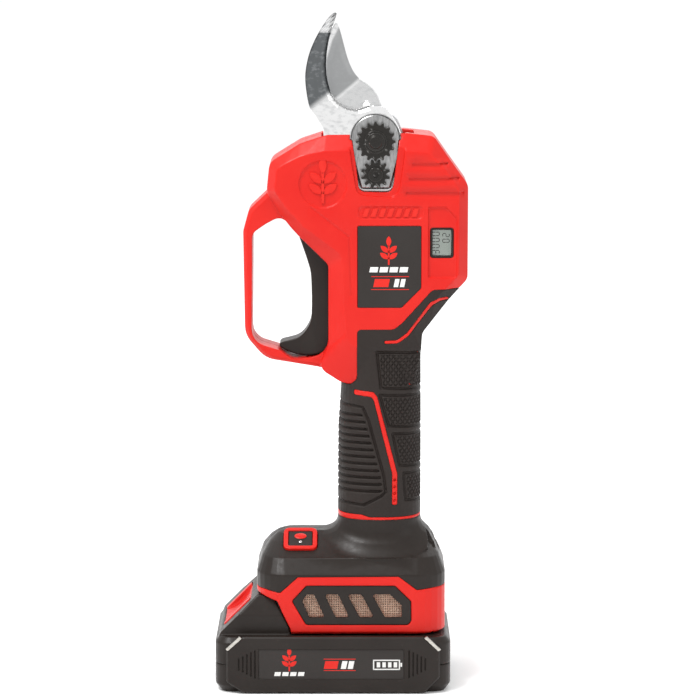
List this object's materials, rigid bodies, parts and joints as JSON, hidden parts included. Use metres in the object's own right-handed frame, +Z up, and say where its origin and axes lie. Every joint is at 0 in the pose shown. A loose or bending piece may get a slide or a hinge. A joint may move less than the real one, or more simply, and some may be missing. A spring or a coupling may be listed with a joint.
{
  "type": "battery electric pruner",
  "caption": "Pistol-less upright electric pruner: bypass blade pair on a geared head, finger guard with trigger, round rubber grip, vented foot and slide-on battery pack.",
  "frame": {"origin": "centre of the bounding box on the face that the battery pack stands on", "axes": "+Z up along the handle, +X from the finger guard towards the palm side, +Y from the display side to the rear"},
  "size_m": [0.125, 0.0766, 0.3356],
  "materials": {
    "red_plastic": "satin moulded red plastic with a fine grain",
    "black_rubber": "matt moulded rubber with knurled pads and ribs",
    "black_plastic": "matt dark moulded plastic, fine spark texture",
    "grey_panel": "smooth dark grey panel",
    "trim_metal": "satin metal-look bar",
    "dust_mesh": "woven beige dust mesh",
    "display_glass": "clear hard window",
    "lcd": "grey liquid-crystal panel with dark bars",
    "circuit": "green circuit board",
    "blade_steel": "ground and polished blade steel",
    "dark_steel": "black oxide steel",
    "gear_steel": "hardened gear steel",
    "bright_steel": "plain bright steel",
    "bronze": "sintered bronze",
    "cast_aluminium": "machined die-cast aluminium",
    "copper": "enamelled copper winding",
    "magnet": "sintered magnet ring",
    "cell_wrap": "shrink-wrapped cell",
    "wire": "insulated wire"
  },
  "bodies": {
    "root": {"shell_front": "red_plastic", "shell_rear": "red_plastic", "grip_front": "black_rubber", "grip_rear": "black_rubber", "foot_cover_front": "black_plastic", "foot_cover_rear": "black_plastic", "vent_grille_front": "black_plastic", "vent_grille_rear": "black_plastic", "vent_mesh": "dust_mesh", "name_plate": "grey_panel", "display_bezel": "black_plastic", "display_window": "display_glass", "lcd_panel": "lcd", "display_board": "circuit", "trigger_pin": "bright_steel", "trigger_spring": "bright_steel", "trigger_switch": "black_plastic", "power_frame": "red_plastic", "power_board": "circuit", "hook_blade": "blade_steel", "hook_screws": "dark_steel", "thrust_washer": "bright_steel", "pivot_bolt": "dark_steel", "toothed_nut": "dark_steel", "retainer_plate": "gear_steel", "lock_gear": "dark_steel", "lock_screw": "dark_steel", "head_frame": "cast_aluminium", "pinion_bearing": "bright_steel", "ring_gear": "gear_steel", "stator": "copper", "motor_can": "dark_steel", "motor_cap": "black_plastic", "control_board": "circuit", "wiring": "wire", "terminal_block": "black_plastic", "housing_screws": "dark_steel"},
    "cutter": {"cutting_blade": "blade_steel", "sector_gear": "gear_steel", "gear_rivets": "bright_steel", "pivot_bushing": "bronze"},
    "drive_shaft": {"drive_pinion": "gear_steel", "planet_carrier": "gear_steel"},
    "planet_1": {"planet_gear_1": "gear_steel"},
    "planet_2": {"planet_gear_2": "gear_steel"},
    "planet_3": {"planet_gear_3": "gear_steel"},
    "rotor": {"rotor_shaft": "bright_steel", "rotor_magnets": "magnet"},
    "trigger_lever": {"trigger": "black_plastic"},
    "power_key": {"power_button": "black_rubber"},
    "battery_pack": {"pack_upper_case": "black_plastic", "pack_lower_case": "black_plastic", "pack_side_plates": "black_plastic", "pack_cells": "cell_wrap", "nickel_strips": "bright_steel", "pack_board": "circuit", "pack_bars": "trim_metal", "release_spring": "bright_steel", "pack_screws": "dark_steel"},
    "pack_release": {"release_button": "red_plastic"}
  },
  "joints": [
    {"name": "blade_open", "type": "hinge", "parent": "root", "child": "cutter", "pos_m": [0.017, 0, 0.273], "axis": [0, 1, 0], "range_deg": [0, 55]},
    {"name": "shaft_spin", "type": "hinge", "parent": "root", "child": "drive_shaft", "pos_m": [0.017, 0, 0.24], "axis": [0, 0, -1], "range_deg": [-5, 225]},
    {"name": "rotor_spin", "type": "hinge", "parent": "root", "child": "rotor", "pos_m": [0.017, 0, 0.18], "axis": [0, 0, -1], "range_deg": [-5, 885]},
    {"name": "trigger_pull", "type": "hinge", "parent": "root", "child": "trigger_lever", "pos_m": [-0.008, 0, 0.24], "axis": [0, -1, 0], "range_deg": [0, 6], "stiffness_Nm_per_rad": 4, "springref_deg": -5.73, "deforming": ["trigger_spring"]},
    {"name": "power_press", "type": "slide", "parent": "root", "child": "power_key", "axis": [0, 0.4695, -0.8829], "range_m": [0, 0.0012], "stiffness_N_per_m": 600, "springref_m": -0.001},
    {"name": "pack_slide", "type": "slide", "parent": "root", "child": "battery_pack", "axis": [-1, 0, 0], "range_m": [0, 0.09]},
    {"name": "release_press", "type": "slide", "parent": "battery_pack", "child": "pack_release", "axis": [0.712, 0, -0.7022], "range_m": [0, 0.002], "stiffness_N_per_m": 900, "springref_m": -0.002, "deforming": ["release_spring"]},
    {"name": "planet_spin_1", "type": "hinge", "parent": "drive_shaft", "child": "planet_1", "pos_m": [0.0254, 0, 0.208], "axis": [0, 0, 1], "range_deg": [-5, 665]},
    {"name": "planet_spin_2", "type": "hinge", "parent": "drive_shaft", "child": "planet_2", "pos_m": [0.0128, 0.00728, 0.208], "axis": [0, 0, 1], "range_deg": [-5, 665]},
    {"name": "planet_spin_3", "type": "hinge", "parent": "drive_shaft", "child": "planet_3", "pos_m": [0.0128, -0.00728, 0.208], "axis": [0, 0, 1], "range_deg": [-5, 665]}
  ],
  "couplings": [
    {"joint": "shaft_spin", "follows": "blade_open", "ratio": 4},
    {"joint": "rotor_spin", "follows": "blade_open", "ratio": 16},
    {"joint": "planet_spin_1", "follows": "blade_open", "ratio": 12},
    {"joint": "planet_spin_2", "follows": "blade_open", "ratio": 12},
    {"joint": "planet_spin_3", "follows": "blade_open", "ratio": 12}
  ]
}
